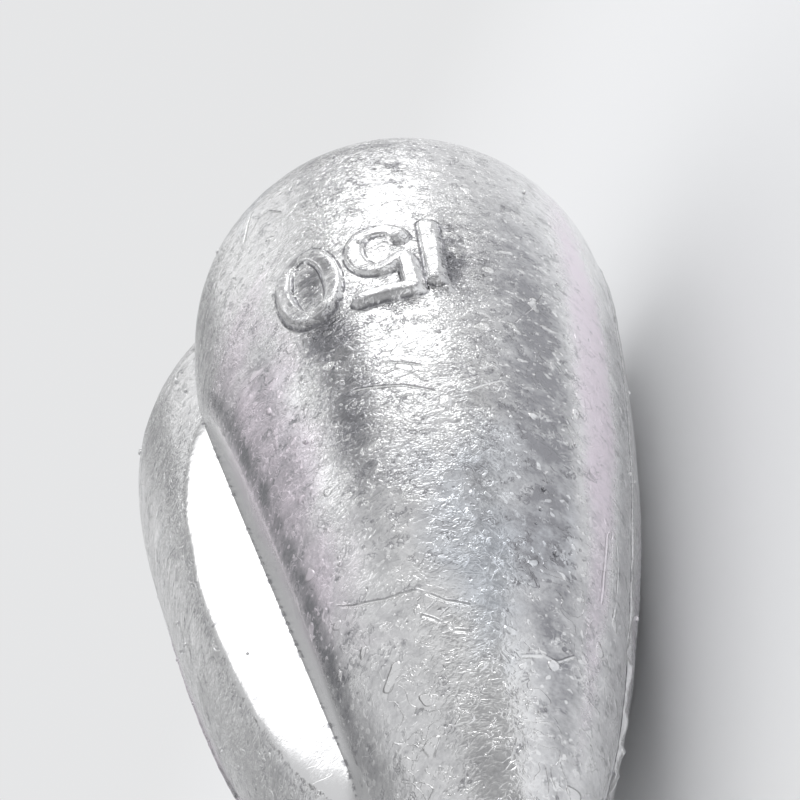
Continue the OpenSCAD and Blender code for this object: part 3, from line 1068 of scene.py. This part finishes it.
def brass_finish():
    material, shader, build = new_finish("drawn_brass")
    place = object_place(build)
    scratch = place.stretched(SCRATCH_STRETCH).noise(*SCRATCH)
    tarnish = place.noise(*TARNISH).step(*TARNISH_STEP)
    colour = mixed_colour(build, tarnish * TARNISH_COLOUR, BRASS, BRASS_TARNISHED)
    join(colour, shader.inputs["Base Color"])
    join(bump_of(build, scratch * SCRATCH_HEIGHT), shader.inputs["Normal"])
    roughness = scratch * SCRATCH_ROUGHNESS + tarnish * TARNISH_ROUGHNESS + BRASS_ROUGHNESS
    join(roughness, shader.inputs["Roughness"])
    shader.inputs["Metallic"].default_value = 1.0
    return material


brass = brass_finish()
for name in ("cast_in_eye", "swivel_barrel", "line_eye"):
    piece = frame["nodes"][name]
    if not piece.material_slots:
        piece.data.materials.append(brass)
    for slot in piece.material_slots:
        slot.material = brass
    print(name, "is finished in", brass.name)

# %% [markdown]
# ## Camera, floor and light
#
# The photograph looks along the sinker from its narrow end with a long lens, and is turned a little.
# The numbers below say where the lens stood about the upright sinker: the direction and distance from
# the point it aims at, how far the aim is off the middle, and the lens in pixels. They come from a
# separate script that fitted the shape's outline and edges to those of the photograph.

# %% Camera
VIEW_AZIMUTH, VIEW_RISE, VIEW_ROLL = np.radians((35.41, 62.54, 13.94))
AIM = np.array((0, 0, 11.9))
DISTANCE = 90.3
SHIFT_RIGHT, SHIFT_UP = 0.06, -6.09
FOCAL_PIXELS, PICTURE_PIXELS, SENSOR = 2120.57, 800, 36


def direction(azimuth, rise):
    """A vector of length 1 at an azimuth and a rise."""
    return np.array([np.cos(rise) * np.cos(azimuth), np.cos(rise) * np.sin(azimuth), np.sin(rise)])


def turned(vector):
    """An upright vector in the scene's axes."""
    return Vector(np.asarray(vector) @ np.array([axis_x, axis_y, axis_z]))


quarter = np.pi / 2
to_camera = direction(VIEW_AZIMUTH, VIEW_RISE)
level = direction(VIEW_AZIMUTH - quarter, 0)
rising = direction(VIEW_AZIMUTH, VIEW_RISE - quarter)
camera_right = np.cos(VIEW_ROLL) * level - np.sin(VIEW_ROLL) * rising
camera_up = np.sin(VIEW_ROLL) * level + np.cos(VIEW_ROLL) * rising
camera_place = AIM + DISTANCE * to_camera - SHIFT_RIGHT * camera_right - SHIFT_UP * camera_up

lens = bpy.data.cameras.new("camera")
lens.sensor_width = SENSOR
lens.lens = FOCAL_PIXELS * SENSOR / PICTURE_PIXELS
lens.clip_start = MM
camera = bpy.data.objects.new("camera", lens)
bpy.context.scene.collection.objects.link(camera)
axes = Matrix((turned(camera_right), turned(camera_up), turned(to_camera))).transposed().to_4x4()
axes.translation = Vector(placed(camera_place))
camera.matrix_world = axes
bpy.context.scene.camera = camera
print("camera at", tuple(round(value, 4) for value in axes.translation))

# %% [markdown]
# The floor is matt and pale near the sinker, where it takes its shadow. Further out it glows as
# brightly as the backdrop, so the two meet with no horizon. A curved backdrop could do the same, but
# would have to be moved for every view.

# %% Floor
PALE = 0.8
COOL = (0.985, 0.99, 1.0)
FLOOR_R, FLOOR_CORNERS = 3.0, 96
FLOOR_ALBEDO, FLOOR_ROUGHNESS = 0.8, 0.85
NEAR, FAR = 0.025, 0.15


def floor_finish():
    """Matt and pale near the sinker, and as bright as the backdrop far away."""
    material, shader, build = new_finish("pale_floor")
    place = build.node("ShaderNodeTexCoord", output=3)
    away = build.node("ShaderNodeVectorMath", {"operation": "LENGTH"}, {0: place}, output=1)
    shader.inputs["Base Color"].default_value = (*(FLOOR_ALBEDO * part for part in COOL), 1)
    shader.inputs["Roughness"].default_value = FLOOR_ROUGHNESS
    plain = build.node("ShaderNodeEmission", None, {"Color": (*COOL, 1), "Strength": PALE})
    matt = Field(material.node_tree, shader.outputs[0])
    mixed = build.node("ShaderNodeMixShader", None, {0: away.step(NEAR, FAR), 1: matt, 2: plain})
    join(mixed, material.node_tree.nodes["Material Output"].inputs["Surface"])
    return material


bpy.ops.mesh.primitive_circle_add(vertices=FLOOR_CORNERS, radius=FLOOR_R, fill_type="NGON")
floor = bpy.context.object
floor.name = "floor"
floor.data.materials.append(floor_finish())
print("floor is matt to", round(NEAR * 1000), "mm and glows from", round(FAR * 1000), "mm")

# %% [markdown]
# Metal shows the room it stands in. The camera sees a plain pale backdrop, but mirrored rays see a dim
# room with a pale band at the horizon and a lighter ceiling, which gives the lead its dark and bright
# stretches. Rays that only carry soft light get an even level, so the floor stays pale.

# %% World
DIM, CEILING = 0.38, 0.66
HORIZON, OVERHEAD = (0.03, 0.14), (0.75, 0.92)

world = bpy.data.worlds.new("studio")
bpy.context.scene.world = world
world.use_nodes = True
sky = world.node_tree.nodes["Background"]
build = Field(world.node_tree)
rays = build.node("ShaderNodeLightPath").socket.node.outputs
seen, mirrored = (Field(world.node_tree, rays[name]) for name in ("Is Camera Ray", "Is Glossy Ray"))
rise = build.node("ShaderNodeTexCoord", output=0).part(2)
studio = (1 - rise.step(*HORIZON)) * (PALE - DIM) + rise.step(*OVERHEAD) * (CEILING - DIM) + DIM
join(seen * PALE + mirrored * studio + (1 - seen - mirrored), sky.inputs["Strength"])
sky.inputs["Color"].default_value = (*COOL, 1)
print("backdrop", PALE, "dim wall", DIM, "ceiling", CEILING)

# %% [markdown]
# Each bright stretch on the lead is the mirror image of a lamp, so the lamps were placed by working out
# which way each stretch looks. The key gives the white field round the number, the wall and left lamps
# light the round fat end and its left side, the high lamp whitens the flank of the groove, the back
# strip edges the far lobe, and the side lamp gives the pale band on the right. A row holds a lamp's
# azimuth and rise, how wide and high it looks, all in degrees, its glow and its distance in metres.
# The glow is how much brighter it looks in the metal than the room behind it.

# %% Lamps
LAMPS = {
    "key": (51, 24, 20, 28, 2.35, 0.4), "wall": (68, 18, 30, 36, 0.22, 0.6),
    "left": (96, 29, 28, 26, 0.55, 0.6), "high": (84, 56, 14, 12, 1.6, 0.45),
    "back": (127, 20, 14, 22, 0.4, 0.45), "side": (24, 36, 24, 44, 0.35, 0.45),
}


def soft_lamp(name, azimuth, rise, wide, high, glow, distance):
    """A rectangular lamp that looks this wide and high, in degrees, and this bright from the sinker."""
    lamp = bpy.data.lights.new(name, "AREA")
    lamp.shape = "RECTANGLE"
    lamp.size, lamp.size_y = 2 * distance * np.tan(np.radians((wide, high)) / 2)
    lamp.energy = glow * np.pi * lamp.size * lamp.size_y
    holder = bpy.data.objects.new(name, lamp)
    bpy.context.scene.collection.objects.link(holder)
    towards = Vector(direction(*np.radians((azimuth, rise))))
    holder.location = Vector(placed(AIM)) + towards * distance
    holder.rotation_euler = towards.to_track_quat("Z", "Y").to_euler()


for name, look in LAMPS.items():
    soft_lamp(name, *look)
print("lamps:", ", ".join(LAMPS))

# %% [markdown]
# The Standard view shows a colour as it was written.

# %% View settings
bpy.context.scene.view_settings.view_transform = "Standard"
